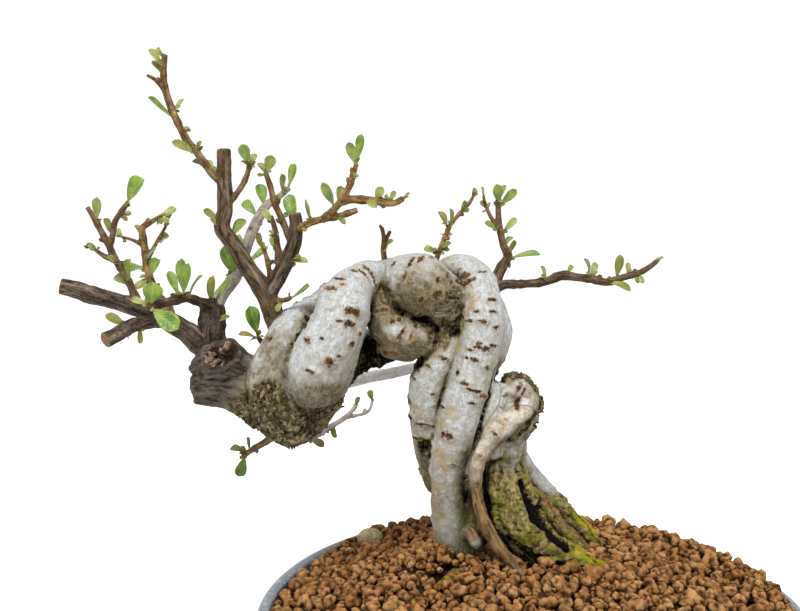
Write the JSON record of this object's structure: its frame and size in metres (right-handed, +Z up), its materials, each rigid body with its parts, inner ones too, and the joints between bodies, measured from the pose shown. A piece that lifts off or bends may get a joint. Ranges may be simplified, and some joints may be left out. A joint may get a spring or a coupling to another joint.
{
  "type": "potted bonsai tree",
  "caption": "Small wall cotoneaster bonsai: a fused, twisted grey trunk arches to one side over coarse soil in a round glazed bowl, with bare limbs and sparse small leaves.",
  "frame": {"origin": "middle of the whole object's bounding box in plan, at the level of the table that the pot stands on", "axes": "+Z up, +Y away from the viewing side, +X to the right; the trunk arches over towards -X"},
  "size_m": [0.2166, 0.16, 0.2182],
  "materials": {
    "pot": "blue-grey satin glaze",
    "drain_mesh": "black plastic mesh",
    "soil": "coarse fired-clay grains",
    "stone": "worn pebble",
    "trunk": "smooth silver-grey bark with dark scars",
    "branch": "dark brown bark",
    "leafy_stem": "golden-brown twigs with satin green leaves"
  },
  "bodies": {
    "root": {"pot": "pot", "drain_mesh": "drain_mesh", "soil": "soil", "stone": "stone", "trunk": "trunk", "limb_tall": "branch", "limb_fork": "branch", "spray_golden": "leafy_stem", "stub_dark": "branch", "limb_back": "branch", "limb_left": "branch", "stub_cut": "branch", "twig_rear_left": "leafy_stem", "twig_low": "leafy_stem", "twig_under_left": "leafy_stem", "twig_under_right": "leafy_stem", "branch_bare": "branch", "twig_top": "leafy_stem", "twig_rear_top": "leafy_stem", "branch_upright": "leafy_stem", "branch_right": "leafy_stem"}
  },
  "joints": []
}
